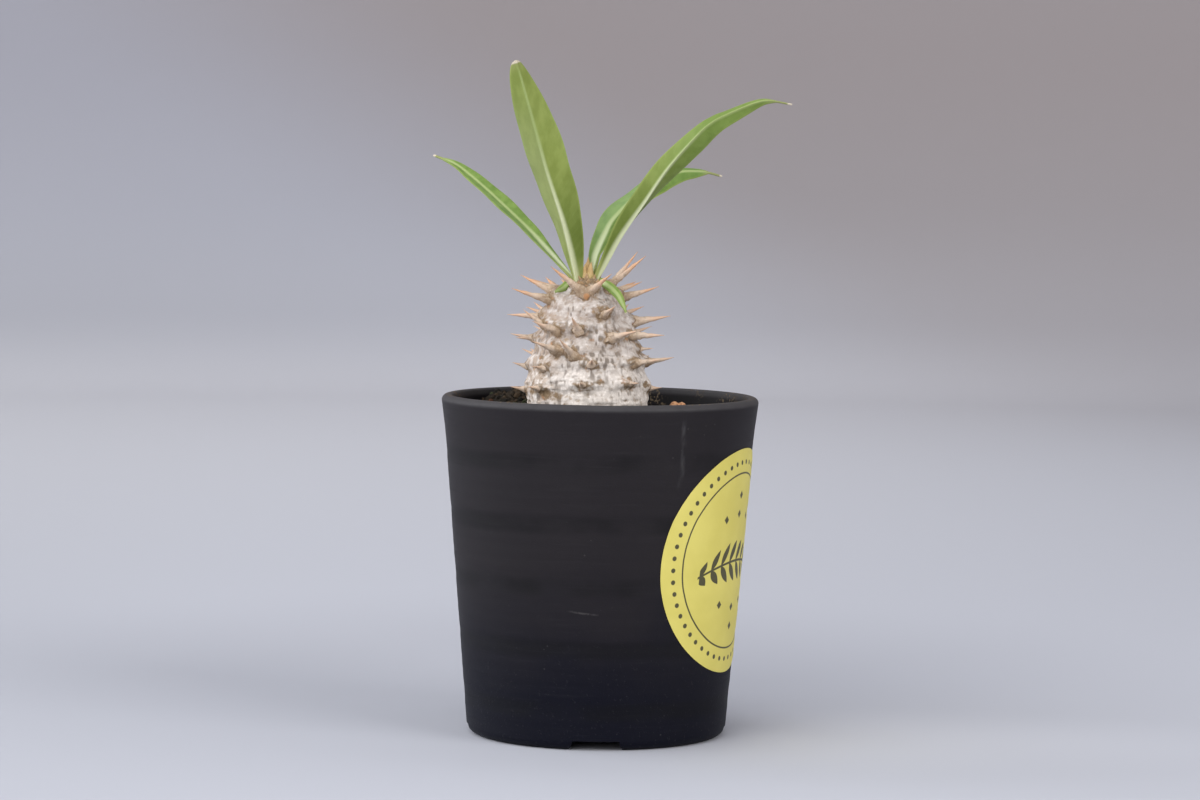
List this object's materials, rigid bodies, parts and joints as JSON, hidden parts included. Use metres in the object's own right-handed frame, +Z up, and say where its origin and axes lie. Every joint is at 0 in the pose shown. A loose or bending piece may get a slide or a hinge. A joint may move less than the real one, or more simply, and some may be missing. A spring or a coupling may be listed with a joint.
{
  "type": "potted pachypodium",
  "caption": "Small thorny caudex succulent with a tuft of narrow leaves, growing in a tall tapered round black plastic nursery pot with a round yellow label wrapped round its wall.",
  "frame": {"origin": "centre of the bounding box at the level of the pot's foot, within a millimetre of the pot's axis", "axes": "+Z up, along the pot's axis and the object's longest extent; -Y is the front that faces the viewer; +X is the viewer's right"},
  "size_m": [0.1015, 0.09, 0.1905],
  "materials": {
    "black_plastic": "matt black moulded plastic",
    "yellow_label": "satin yellow printed label",
    "potting_soil": "dry granular potting mix",
    "clay_granule": "dull fired clay",
    "pale_bark": "rough pale bark",
    "green_leaf": "satin green leaf"
  },
  "bodies": {
    "root": {"pot": "black_plastic", "label": "yellow_label", "soil": "potting_soil", "loose_granule": "clay_granule", "trunk": "pale_bark", "leaf_left": "green_leaf", "leaf_tall": "green_leaf", "leaf_right_front": "green_leaf", "leaf_right_back": "green_leaf", "leaf_small_right": "green_leaf", "leaf_small_left": "green_leaf"}
  },
  "joints": []
}
